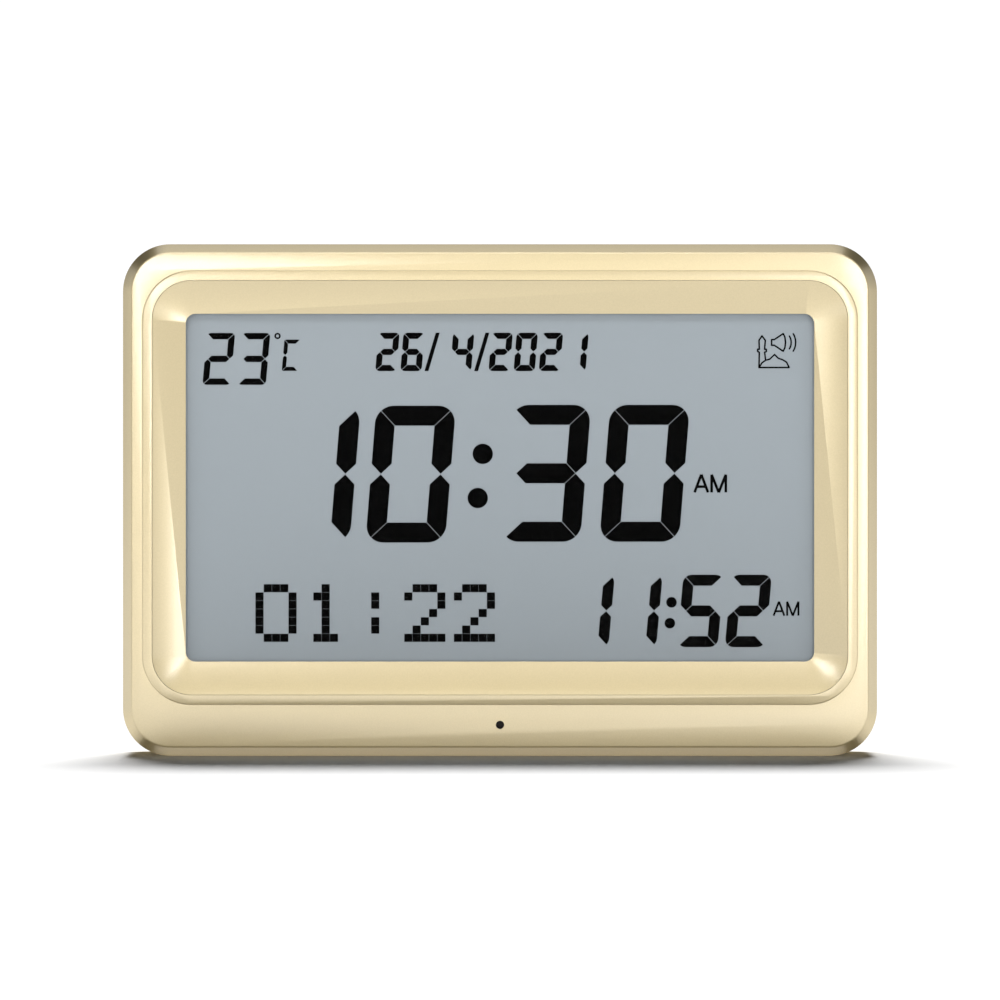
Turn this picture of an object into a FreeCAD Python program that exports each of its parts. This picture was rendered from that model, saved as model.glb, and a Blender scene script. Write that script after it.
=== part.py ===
import FreeCAD, Part
import math
import os
from FreeCAD import Vector

# A prayer-time clock with a large reflective liquid crystal display.
# It stands upright on its flat underside, faces -Y, and hangs or leans by its back.
# Every size is in millimetres. A depth is measured from the foremost plane, the rim's front.

# Window, sloping surround and raised rim
window_width = 189.0
window_height = 104.6
window_radius = 2.9
slope_width = 9.8
slope_radius = 11.7
slope_recess = 3.6
window_lip = 0.6
surround_set_back = 0.25
surround_edge = 1.5
surround_gap = 0.15
rim_width = 3.1
rim_raise = 0.6
rim_bevel = 0.45
ledge_width = 3.2
ledge_thickness = 2.2

# Front housing
side_margin = 5.95
top_margin = 8.0
bottom_margin = 15.4
corner_radius = 14.2
face_bevel = 2.7
edge_round = 0.4
wall = 2.2
parting_depth = 18.0
parting_groove = 0.5
tongue_thickness = 1.0
tongue_length = 2.0
fit_play = 0.1

# Display stack, from the window sheet back to the main board
lens_overlap = 2.5
lens_thickness = 1.2
gasket_thickness = 0.5
gasket_inset = 0.8
film_thickness = 0.2
segment_thickness = 0.06
glass_overlap = 2.6
glass_thickness = 1.1
glass_radius = 0.8
contact_ledge = 3.2
connector_width = 2.2
connector_end_gap = 9.0
holder_play = 0.25
holder_wall = 2.2
ear_thickness = 2.5
ear_width = 10.0
board_gap = 3.2
board_thickness = 1.6

# Screws: head radius, head height, shank radius and length
case_screw = (2.8, 2.0, 1.45, 10.0)
board_screw = (2.3, 1.6, 1.1, 7.0)
small_screw = (2.0, 1.2, 0.9, 4.5)
case_screw_inset = 9.2
board_screw_spread = 120.0
boss_radius = 3.5
board_post_radius = 2.8
rear_post_radius = 4.4
shoulder_thickness = 2.5
head_play = 0.5
thread_play = 0.05
hole_play = 0.25
drive_slot = (0.6, 0.9)

# Status light behind the small hole under the window
status_height = 9.4
status_hole_radius = 1.25
status_recess = 0.5
status_flange = (2.4, 1.0)
led_body = (1.5, 4.2)
led_collar = (1.9, 1.0)
led_lead = (0.5, 2.54)
tongue_width = 16.0
tongue_drop = 4.0

# Parts on the back of the main board
chip_dome = (8.0, 1.8)
sound_chip_size = (10.3, 7.5, 2.3)
amplifier_chip_size = (5.0, 4.0, 1.6)
crystal_size = (1.5, 6.0)
capacitor_size = (2.5, 6.2)
thermistor_bead = 1.3
thermistor_lead = (0.3, 6.5)

# Rear cover
rear_wall = 2.2
rear_round = 3.0

# Battery bay, cells and door
cell_radius = 7.25
cell_body = 49.4
cell_nub = (2.75, 1.1)
cell_count = 3
cell_gap = 0.6
cell_play = 0.4
contact_thickness = 0.4
contact_size = 11.0
spring_length = 5.0
spring_radii = (4.4, 2.7)
spring_wire = 0.35
spring_turns = 4
bay_gap = 0.6
bay_floor_thickness = 1.5
bay_wall = 2.0
bay_side_gap = 4.0
door_ledge = 1.2
door_thickness = 1.8
door_radius = 2.0
door_play = 0.25
door_barrel = 1.5
door_stub = (1.0, 1.6)
door_rib = (10.0, 1.0, 2.0)
thumb_notch = (16.0, 4.0, 1.4)
hinge_block = 3.2

# Stand leg
stand_width = 46.0
stand_thickness = 3.0
stand_play = 0.4
stand_flush = 0.2
stand_tip_height = 1.6
stand_tip_round = 2.6
stand_tip_corner = 5.0
stand_barrel = 2.4
stand_heel = (4.2, 2.0)
stand_open_angle = 30.0
stand_pin_radius = 1.2
stand_pin_seat = 4.0
stand_boss = 5.5
recess_wall = 1.8
scoop_width = 18.0
scoop_height = 9.0
scoop_depth = 5.0
grip_grooves = 3
grip_groove = (26.0, 1.4, 0.5)
grip_pitch = 4.0

# Speaker and its grille
speaker_flange = 52.0
speaker_flange_thickness = 1.2
speaker_flange_radius = 4.0
speaker_seat = 1.5
speaker_cone_radius = 22.5
basket_depth = 6.0
basket_throat = 12.0
basket_wall = 0.8
cone_wall = 0.5
cone_throat = 6.0
cone_depth = 5.0
yoke = (12.5, 1.0)
magnet = (11.0, 4.5)
speaker_hole_inset = 4.2
speaker_bottom_gap = 3.0
grille_radius = 19.5
grille_slot = 1.8
grille_pitch = 3.9

# Key row, key board and switches
key_names = ("menu", "set", "plus", "minus", "call", "light")
key_pitch = 19.0
key_size = (11.0, 6.2, 2.4)
key_play = 0.25
key_flush = 0.2
key_flange = (0.8, 1.2)
key_stem = (1.6, 1.0)
key_travel = 0.8
key_row_drop = 31.5
key_panel_depth = 1.2
key_panel_border = (4.5, 3.2)
key_panel_radius = 3.0
switch_body = (6.0, 3.5)
switch_plunger = (1.7, 1.5)
plunger_play = 0.15
plunger_well = 2.6
key_board_thickness = 1.2
key_board_border = (14.0, 5.0)
key_post_radius = 2.5
key_post_inset = 4.0
header_size = (17.8, 2.5)
header_drop = 4.5

# Wall-hanging keyholes and vent slots
keyhole_spacing = 168.0
keyhole_entry = 4.25
keyhole_slot = 2.6
keyhole_rise = 8.0
keyhole_depth = 4.6
keyhole_margin = 1.2
cup_wall = 1.4
vent_slot = (1.4, 9.0)
vent_count = 5
vent_pitch = 3.2
vent_drop = 54.0
vent_inset = 20.0

# Insulated leads
lead_radius = 0.6
lead_hole_play = 0.3
lead_reach = 7.0

# Digits on the display: height, width, stroke, corner radius, gap between bars, and lean
time_style = (41.2, 24.0, 6.0, 5.3, 0.15, 4.6)
next_style = (21.8, 12.25, 3.3, 2.6, 0.16, 5.1)
date_style = (11.55, 6.4, 1.85, 1.35, 0.14, 4.8)
warmth_style = (15.6, 8.5, 1.9, 1.3, 0.16, 5.0)
unit_style = (9.4, 4.75, 1.2, 0.5, 0.12, 5.0)

# Where the display's rows stand, from the window's centre
time_x = (-55.6, -26.9, 13.8, 43.55)
time_z = (4.1, 4.1, 4.35, 4.35)
time_colon = (-5.2, 10.2, -6.7, -3.1, 3.06)
next_x = (27.5, 41.9, 60.4, 74.8)
next_z = -37.1
next_colon = (51.65, -34.5, 51.15, -40.8, 1.6)
date_x = (-33.9, -26.35, -11.4, 0.2, 7.75, 15.35, 23.05)
date_z = 40.9
slash_x = (-20.45, -5.5)
slash_size = (1.7, 1.2)
warmth_x = (-84.7, -74.1)
warmth_z = 38.8
degree_ring = (-67.0, 45.7, 0.95, 0.45)
unit_corner = (-62.95, 39.9)
morning_large = (58.6, -1.4, 5.35, 0.8)
morning_small = (82.4, -38.55, 4.25, 0.6)
matrix_pitch = 2.49
matrix_gap = 0.06
matrix_corner = (-73.65, -29.05)
matrix_columns = 6
symbol_corner = (78.0, 36.2)
symbol_unit = 0.5
symbol_line = 0.48
horn_place = (3.8, 7.55)
wave_offset = 2.2
wave_radii = (3.7, 5.05)
wave_angle = 31.0

# Depths of each layer, worked out from the front
face_depth = rim_raise
inner_face = face_depth + wall
ledge_front = surround_set_back + surround_edge
ledge_back = ledge_front + ledge_thickness
surround_back = slope_recess + window_lip
lens_back = surround_back + lens_thickness
film_front = lens_back + gasket_thickness
glass_front = film_front + film_thickness
rear_glass_front = glass_front + glass_thickness
rear_film_front = rear_glass_front + glass_thickness
rear_film_back = rear_film_front + film_thickness
board_front = rear_film_back + board_gap
board_back = board_front + board_thickness
bay_front = board_back + bay_gap
bay_floor = bay_front + bay_floor_thickness
cell_axis = bay_floor + cell_play / 2 + cell_radius
door_seat = bay_floor + 2 * cell_radius + cell_play
case_depth = door_seat + door_thickness
rear_inside = case_depth - rear_wall

# Widths and heights, worked out from the window outwards
slope_outer_width = window_width + 2 * slope_width
slope_outer_height = window_height + 2 * slope_width
rim_outer_width = slope_outer_width + 2 * rim_width
rim_outer_height = slope_outer_height + 2 * rim_width
case_width = rim_outer_width + 2 * side_margin
case_height = rim_outer_height + top_margin + bottom_margin
window_z = bottom_margin + rim_outer_height / 2
case_z = case_height / 2
inside_width = case_width - 2 * wall
inside_height = case_height - 2 * wall
inside_radius = corner_radius - wall
rear_glass_height = window_height + 2 * glass_overlap
glass_width = window_width + 2 * glass_overlap
front_glass_height = rear_glass_height + 2 * contact_ledge
holder_inner_width = glass_width + 2 * holder_play
holder_inner_height = front_glass_height + 2 * holder_play
holder_width = holder_inner_width + 2 * holder_wall
holder_height = holder_inner_height + 2 * holder_wall
board_screw_rise = holder_height / 2 + board_post_radius + board_screw[0] / 4
board_height = 2 * (board_screw_rise + board_screw[0] + fit_play)

# Places on the back, chained from the stand in the middle
stand_half = stand_width / 2 + stand_play
key_row_z = case_height - key_row_drop
key_board_width = (len(key_names) - 1) * key_pitch + 2 * key_board_border[0]
key_board_height = key_size[1] + 2 * key_board_border[1]
stand_axis_z = key_row_z - key_board_height / 2 - stand_heel[0] - stand_boss
stand_axis_depth = case_depth - stand_flush - stand_barrel
recess_floor = case_depth - stand_flush - stand_thickness - stand_play
cell_pitch = 2 * cell_radius + cell_gap
bay_length = cell_body + cell_nub[1] + spring_length + 2 * contact_thickness
bay_height = cell_count * cell_pitch
bay_x = -(stand_half + stand_boss + bay_side_gap + bay_wall + bay_length / 2)
bay_bottom = window_z - board_screw_rise + board_screw[0] + bay_gap + 2 * bay_wall
bay_z = bay_bottom + bay_height / 2
door_width = bay_length + 2 * door_ledge
door_height = bay_height + 2 * door_ledge
door_axis_z = bay_z + door_height / 2 - door_barrel
door_axis_depth = case_depth - door_barrel
speaker_x = stand_half + stand_boss + bay_side_gap + speaker_flange / 2
speaker_z = bay_bottom + speaker_flange / 2 - speaker_bottom_gap
flange_back = rear_inside - speaker_seat
flange_front = flange_back - speaker_flange_thickness
key_seat = case_depth - key_panel_depth - rear_wall
key_flange_front = key_seat - key_flange[1]
plunger_top = key_flange_front - key_stem[1]
key_board_back = plunger_top - switch_plunger[1] - switch_body[1]
key_board_front = key_board_back - key_board_thickness
key_post_x = key_board_width / 2 - key_post_inset


def at(x, depth, z):
    """A point from its place across, its depth behind the rim's front, and its height."""
    return Vector(x, depth - case_depth / 2, z)


def outline(width, height, radius, depth, x=0.0, z=0.0):
    """A closed rectangle with round corners, square to Y, centred on x and z."""
    right, top = width / 2, height / 2
    if radius <= 0:
        corners = [(-right, -top), (right, -top), (right, top), (-right, top), (-right, -top)]
        return Part.makePolygon([at(x + dx, depth, z + dz) for dx, dz in corners])
    edges = []
    turns = [(right, top, 0), (-right, top, 90), (-right, -top, 180), (right, -top, 270)]
    centres = [
        (dx - math.copysign(radius, dx), dz - math.copysign(radius, dz), start)
        for dx, dz, start in turns
    ]

    def rim_point(centre, angle):
        along = math.radians(angle)
        across = centre[0] + radius * math.cos(along)
        up = centre[1] + radius * math.sin(along)
        return at(x + across, depth, z + up)

    for index, centre in enumerate(centres):
        start = centre[2]
        first, last = rim_point(centre, start), rim_point(centre, start + 90)
        edges.append(Part.Arc(first, rim_point(centre, start + 45), last).toShape())
        following = centres[(index + 1) % 4]
        begin = rim_point(following, following[2])
        if (begin - last).Length > 1e-6:
            edges.append(Part.LineSegment(last, begin).toShape())
    return Part.Wire(edges)


def slab(width, height, radius, front, back, x=0.0, z=0.0):
    """A flat block with round corners between two depths."""
    face = Part.Face(outline(width, height, radius, front, x, z))
    return face.extrude(Vector(0, back - front, 0))


def frame(outer, inner, front, back, z):
    """A flat ring: outer and inner are each a width, a height and a corner radius."""
    return slab(*outer, front, back, 0, z).cut(slab(*inner, front, back, 0, z))


def rod(radius, front, back, x, z):
    """A round bar that runs from one depth to another."""
    return Part.makeCylinder(radius, back - front, at(x, front, z), Vector(0, 1, 0))


def cross_rod(radius, left, right, depth, z):
    """A round bar that runs across, from left to right."""
    return Part.makeCylinder(radius, right - left, at(left, depth, z), Vector(1, 0, 0))


def turned(profile, x, z):
    """A solid of revolution about Y, from points of radius and depth."""
    points = [at(x + radius, depth, z) for radius, depth in profile]
    face = Part.Face(Part.makePolygon(points + points[:1]))
    return face.revolve(at(x, 0, z), Vector(0, 1, 0), 360)


def joined(shapes):
    """All the shapes fused, with the seams between flush faces removed."""
    first, *rest = shapes
    return first.fuse(rest).removeSplitter() if rest else first


def edges_at(shape, depth):
    """The edges that lie wholly at one depth."""
    y = depth - case_depth / 2
    near = 1e-4
    return [
        edge
        for edge in shape.Edges
        if abs(edge.BoundBox.YMin - y) < near and abs(edge.BoundBox.YMax - y) < near
    ]


def screw(size, seat, x, z, points_forward=True):
    """A pan-head screw. Its head lies behind the seat, and its shank runs forwards, or the reverse."""
    head_radius, head_height, shank_radius, length = size
    way = -1 if points_forward else 1
    ends = sorted((seat, seat - way * head_height))
    head = rod(head_radius, *ends, x, z)
    top = seat - way * head_height
    rounded = head.makeFillet(head_height / 3, edges_at(head, top))
    slot_depth, slot_width = drive_slot
    cut_ends = sorted((top, top + way * slot_depth))
    for wide, tall in ((1.2 * head_radius, slot_width), (slot_width, 1.2 * head_radius)):
        rounded = rounded.cut(slab(wide, tall, 0, *cut_ends, x, z))
    shank = rod(shank_radius, *sorted((seat, seat + way * length)), x, z)
    return rounded.fuse(shank).removeSplitter()


def case_screw_places():
    """Two screws in each of the top corners, bottom corners and middles of the sides."""
    reach = case_width / 2 - case_screw_inset
    heights = (case_screw_inset, window_z, case_height - case_screw_inset)
    return [(side * reach, height) for side in (-1, 1) for height in heights]


def board_screw_places():
    """Four screws, above and below the display holder."""
    return [
        (side * board_screw_spread / 2, window_z + way * board_screw_rise)
        for side in (-1, 1)
        for way in (-1, 1)
    ]


def key_places():
    """Each key's name and place across."""
    middle = (len(key_names) - 1) / 2
    return [(name, (index - middle) * key_pitch) for index, name in enumerate(key_names)]


def front_housing():
    """The deep front shell, with its bevelled face, raised rim, ledge, bosses and posts."""
    body = slab(case_width, case_height, corner_radius, face_depth, parting_depth, 0, case_z)
    body = body.makeChamfer(face_bevel, edges_at(body, face_depth))
    body = body.makeFillet(edge_round, edges_at(body, face_depth))
    rim_radius = slope_radius + rim_width
    rim = slab(rim_outer_width, rim_outer_height, rim_radius, 0, ledge_back, 0, window_z)
    rim = rim.makeChamfer(rim_bevel, edges_at(rim, 0))
    cavity = slab(inside_width, inside_height, inside_radius, inner_face, parting_depth, 0, case_z)
    body = body.cut(cavity).fuse(rim)

    seat = (
        slope_outer_width + 2 * surround_gap,
        slope_outer_height + 2 * surround_gap,
        slope_radius + surround_gap,
    )
    body = body.cut(slab(*seat, -1, ledge_front, 0, window_z))
    through = (
        slope_outer_width - 2 * ledge_width,
        slope_outer_height - 2 * ledge_width,
        slope_radius - ledge_width,
    )
    body = body.cut(slab(*through, -1, parting_depth, 0, window_z))

    rebate = wall - tongue_thickness - fit_play
    body = body.cut(
        slab(
            case_width - 2 * rebate,
            case_height - 2 * rebate,
            corner_radius - rebate,
            parting_depth - tongue_length - fit_play,
            parting_depth,
            0,
            case_z,
        )
    )
    bosses = [rod(boss_radius, inner_face, parting_depth, x, z) for x, z in case_screw_places()]
    post_back = board_front - ear_thickness
    posts = [
        rod(board_post_radius, inner_face, post_back, x, z) for x, z in board_screw_places()
    ]
    body = body.fuse(bosses + posts)
    pilot = case_screw[2] + thread_play
    seat_depth = parting_depth + shoulder_thickness
    tip = seat_depth - case_screw[3] - fit_play
    pilots = [rod(pilot, tip, parting_depth, x, z) for x, z in case_screw_places()]
    board_pilot = board_screw[2] + thread_play
    board_tip = board_back - board_screw[3] - fit_play
    pilots += [rod(board_pilot, board_tip, post_back, x, z) for x, z in board_screw_places()]
    status_hole = rod(status_hole_radius, -1, inner_face, 0, status_height)
    return body.cut(pilots + [status_hole]).removeSplitter()


def screen_surround():
    """The separate frame that slopes from the rim down to the window."""
    outer = (slope_outer_width, slope_outer_height, slope_radius)
    inner = (
        slope_outer_width - 2 * ledge_width - 2 * surround_gap,
        slope_outer_height - 2 * ledge_width - 2 * surround_gap,
        slope_radius - ledge_width - surround_gap,
    )
    edge = slab(*outer, surround_set_back, ledge_front, 0, window_z)
    body = edge.fuse(slab(*inner, surround_set_back, surround_back, 0, window_z))
    mouth = outline(*outer, surround_set_back, 0, window_z)
    throat = outline(window_width, window_height, window_radius, slope_recess, 0, window_z)
    funnel = Part.makeLoft([mouth, throat], True, True)
    hole = slab(window_width, window_height, window_radius, slope_recess, surround_back, 0, window_z)
    return body.cut(funnel).cut(hole).removeSplitter()


def display_lens():
    """The clear sheet glued behind the surround."""
    width = window_width + 2 * lens_overlap
    height = window_height + 2 * lens_overlap
    return slab(width, height, window_radius, surround_back, lens_back, 0, window_z)


def lcd_gasket():
    """The foam ring between the clear sheet and the display."""
    outer = (glass_width, rear_glass_height, glass_radius)
    inner = (window_width + 2 * gasket_inset, window_height + 2 * gasket_inset, window_radius)
    return frame(outer, inner, lens_back, film_front, window_z)


def display_layer(height, front, thickness):
    """One flat layer of the display."""
    return slab(glass_width, height, glass_radius, front, front + thickness, 0, window_z)


def lcd_connectors():
    """The rubber strips that join the glass's contact ledges to the main board."""
    reach = rear_glass_height / 2 + contact_ledge / 2
    length = glass_width - 2 * connector_end_gap
    strips = [
        slab(length, connector_width, 0, rear_glass_front, board_front, 0, window_z + way * reach)
        for way in (-1, 1)
    ]
    return Part.makeCompound(strips)


def lcd_holder():
    """The white frame that traps the display against the surround and carries the main board."""
    outer = (holder_width, holder_height, holder_wall)
    inner = (holder_inner_width, holder_inner_height, glass_radius)
    ring = frame(outer, inner, surround_back, board_front, window_z)
    ear_front = board_front - ear_thickness
    ear_height = 2 * (board_screw[0] + fit_play)
    middle = (board_screw_rise + ear_height / 2 + holder_height / 2) / 2
    tall = board_screw_rise + ear_height / 2 - holder_height / 2
    ears = [
        slab(
            ear_width,
            tall + holder_wall / 2,
            0,
            ear_front,
            board_front,
            side * board_screw_spread / 2,
            window_z + way * (middle - holder_wall / 4),
        )
        for side in (-1, 1)
        for way in (-1, 1)
    ]
    hole = board_screw[2] + hole_play
    holes = [rod(hole, ear_front, board_front, x, z) for x, z in board_screw_places()]
    return joined([ring] + ears).cut(holes)


def main_board():
    """The main circuit board, with a tab that reaches down to the status light."""
    body = slab(holder_width, board_height, glass_radius, board_front, board_back, 0, window_z)
    bottom = window_z - board_height / 2
    low = status_height - tongue_drop
    tab = slab(
        tongue_width,
        bottom - low + holder_wall,
        0,
        board_front,
        board_back,
        0,
        (bottom + holder_wall + low) / 2,
    )
    hole = board_screw[2] + hole_play
    holes = [rod(hole, board_front, board_back, x, z) for x, z in board_screw_places()]
    return joined([body, tab]).cut(holes)


def block_on_board(size, x, z):
    """A chip's package on the back of the main board."""
    width, height, thickness = size
    return slab(width, height, 0, board_back, board_back + thickness, x, z)


def clock_chip():
    """The round blob of resin over the bare clock chip."""
    radius, height = chip_dome
    sphere_radius = (radius**2 + height**2) / (2 * height)
    ball = Part.makeSphere(sphere_radius, at(0, board_back + height - sphere_radius, window_z))
    return ball.common(rod(radius, board_back, board_back + height, 0, window_z))


def sound_chips():
    """The voice chip and the speaker amplifier."""
    left = chip_dome[0] + sound_chip_size[0]
    voice = block_on_board(sound_chip_size, left, window_z + chip_dome[0])
    amplifier = block_on_board(amplifier_chip_size, left, window_z - chip_dome[0])
    return Part.makeCompound([voice, amplifier])


def crystal_can():
    """The clock crystal, lying on the board beside the resin blob."""
    radius, length = crystal_size
    x = -chip_dome[0] - length
    return cross_rod(radius, x - length / 2, x + length / 2, board_back + radius, window_z)


def board_capacitors():
    """Three round capacitors that stand on the board."""
    radius, height = capacitor_size
    left = chip_dome[0] + 2 * sound_chip_size[0]
    cans = []
    for index in range(3):
        z = window_z + (index - 1) * 3 * radius
        can = rod(radius, board_back, board_back + height, left, z)
        cans.append(can.makeFillet(radius / 6, edges_at(can, board_back + height)))
    return Part.makeCompound(cans)


def vent_place():
    """The middle of the vent slots."""
    return case_width / 2 - vent_inset, case_height - vent_drop


def thermistor():
    """The temperature sensor, a bead on two leads behind the vent slots."""
    x, z = vent_place()
    lead, reach = thermistor_lead
    bead = Part.makeSphere(thermistor_bead, at(x, board_back + reach + thermistor_bead / 2, z))
    legs = [
        rod(lead, board_back, board_back + reach + thermistor_bead / 2, x + side * 2 * lead, z)
        for side in (-1, 1)
    ]
    return joined([bead] + legs)


def status_lens():
    """The dark light pipe, set a little below the face."""
    stem = rod(status_hole_radius - fit_play, face_depth + status_recess, inner_face, 0, status_height)
    stem = stem.makeFillet(edge_round, edges_at(stem, face_depth + status_recess))
    radius, thickness = status_flange
    return joined([stem, rod(radius, inner_face, inner_face + thickness, 0, status_height)])


def status_led():
    """The lamp behind the light pipe, with its two legs to the board."""
    front = inner_face + status_flange[1]
    body = rod(led_body[0], front, front + led_body[1], 0, status_height)
    collar_back = front + led_body[1]
    collar = rod(led_collar[0], collar_back - led_collar[1], collar_back, 0, status_height)
    thick, apart = led_lead
    legs = [
        slab(thick, thick, 0, collar_back, board_front, side * apart / 2, status_height)
        for side in (-1, 1)
    ]
    return joined([body, collar] + legs)


def bay_solid():
    """The battery bay's outer walls, inside the case."""
    width = bay_length + 2 * bay_wall
    height = bay_height + 2 * bay_wall
    return slab(width, height, bay_wall, bay_front, rear_inside, bay_x, bay_z)


def door_hinge_blocks():
    """The two blocks that hold the door's hinge stubs."""
    edge = door_width / 2 + door_play
    front = door_axis_depth - hinge_block
    return [
        slab(hinge_block, 2 * hinge_block, 0, front, rear_inside, bay_x + side * (edge + hinge_block / 2),
             door_axis_z)
        for side in (-1, 1)
    ]


def heel_reach():
    """How far inwards the stand's heel swings at its stop."""
    angle = math.radians(stand_open_angle)
    return stand_barrel * math.cos(angle) + stand_heel[0] * math.sin(angle)


def stand_walls():
    """The walls around the stand's recess, heel pocket, finger scoop and pin."""
    half = stand_half + recess_wall
    top = stand_axis_z + stand_heel[0] + stand_play + recess_wall
    floor = recess_floor - recess_wall
    tray = slab(2 * half, top, 0, floor, rear_inside, 0, top / 2)
    pocket_low = stand_axis_z - stand_barrel - stand_play - recess_wall
    pocket_front = stand_axis_depth - heel_reach() - fit_play - recess_wall
    pocket = slab(
        2 * half, top - pocket_low, 0, pocket_front, rear_inside, 0, (top + pocket_low) / 2
    )
    scoop = slab(
        scoop_width + 2 * recess_wall,
        scoop_height + recess_wall,
        0,
        recess_floor - scoop_depth - recess_wall,
        rear_inside,
        0,
        (scoop_height + recess_wall) / 2,
    )
    boss_half = stand_half + stand_boss
    boss = slab(
        2 * boss_half, top - pocket_low, 0, stand_axis_depth - stand_boss / 2 - stand_pin_radius,
        rear_inside, 0, (top + pocket_low) / 2
    )
    return [tray, pocket, scoop, boss]


def stand_hollows():
    """The recess, heel pocket, finger scoop and pin bore that are cut away."""
    past = case_depth + wall
    recess = slab(2 * stand_half, stand_axis_z + wall, 0, recess_floor, past, 0,
                  (stand_axis_z - wall) / 2)
    groove = cross_rod(
        stand_barrel + stand_play, -stand_half, stand_half, stand_axis_depth, stand_axis_z
    )
    top = stand_axis_z + stand_heel[0] + stand_play
    low = stand_axis_z - stand_barrel - stand_play
    pocket = slab(
        2 * stand_half, top - low, 0, stand_axis_depth - heel_reach() - fit_play,
        stand_axis_depth, 0, (top + low) / 2
    )
    scoop = slab(
        scoop_width, scoop_height + wall, 0, recess_floor - scoop_depth, past, 0,
        (scoop_height - wall) / 2
    )
    reach = stand_half + stand_boss + wall
    bore = cross_rod(stand_pin_radius + thread_play, -reach, reach, stand_axis_depth, stand_axis_z)
    return [recess, groove, pocket, scoop, bore]


def keyhole_cup(x):
    """The closed cup behind one keyhole."""
    half = keyhole_entry + keyhole_margin + cup_wall
    tall = keyhole_rise + 2 * half
    return slab(2 * half, tall, half, rear_inside - keyhole_depth - cup_wall, rear_inside, x,
                key_row_z + keyhole_rise / 2)


def keyhole_cuts(x):
    """The entry hole, the slot above it and the space behind them."""
    past = case_depth + wall
    half = keyhole_entry + keyhole_margin
    space = slab(2 * half, keyhole_rise + 2 * half, half, rear_inside - keyhole_depth, rear_inside,
                 x, key_row_z + keyhole_rise / 2)
    entry = rod(keyhole_entry, rear_inside - wall, past, x, key_row_z)
    slot = slab(2 * keyhole_slot, keyhole_rise + 2 * keyhole_slot, keyhole_slot,
                rear_inside - wall, past, x, key_row_z + keyhole_rise / 2)
    return [space, entry, slot]


def grille_slots():
    """The rows of slots in front of the speaker, cut to a circle."""
    rows = int(grille_radius // grille_pitch)
    slots = []
    for row in range(-rows, rows + 1):
        offset = row * grille_pitch
        half = math.sqrt(grille_radius**2 - offset**2)
        if half > 2 * grille_slot:
            slots.append(
                slab(2 * half, grille_slot, grille_slot / 2 - fit_play, rear_inside - wall,
                     case_depth + wall, speaker_x, speaker_z + offset)
            )
    return slots


def vent_slots():
    """A few upright slots that let room air reach the temperature sensor."""
    wide, tall = vent_slot
    x, z = vent_place()
    middle = (vent_count - 1) / 2
    return [
        slab(wide, tall, wide / 2 - fit_play, rear_inside - wall, case_depth + wall,
             x + (index - middle) * vent_pitch, z)
        for index in range(vent_count)
    ]


def speaker_screw_places():
    """The corners of the speaker's flange."""
    reach = speaker_flange / 2 - speaker_hole_inset
    return [(speaker_x + sx * reach, speaker_z + sz * reach) for sx in (-1, 1) for sz in (-1, 1)]


def key_post_places():
    """The three posts that carry the key board."""
    return [(-key_post_x, key_row_z), (0.0, key_row_z), (key_post_x, key_row_z)]


def key_panel(front, back, border):
    """A block as large as the sunken key panel, or larger by a border."""
    width = (len(key_names) - 1) * key_pitch + key_size[0] + 2 * (key_panel_border[0] + border)
    height = key_size[1] + 2 * (key_panel_border[1] + border)
    return slab(width, height, key_panel_radius + border, front, back, 0, key_row_z)


def rear_shell():
    """The rear cover's plain shell, with its rounded back edge and its tongue."""
    shell = slab(case_width, case_height, corner_radius, parting_depth + parting_groove, case_depth,
                 0, case_z)
    shell = shell.makeFillet(rear_round, edges_at(shell, case_depth))
    shell = shell.cut(
        slab(inside_width, inside_height, inside_radius, parting_depth, rear_inside, 0, case_z)
    )
    tongue_edge = wall - tongue_thickness
    outer = (
        case_width - 2 * tongue_edge, case_height - 2 * tongue_edge, corner_radius - tongue_edge
    )
    inner = (inside_width, inside_height, inside_radius)
    tongue = frame(outer, inner, parting_depth - tongue_length, rear_inside, case_z)
    return shell.fuse(tongue)


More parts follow.
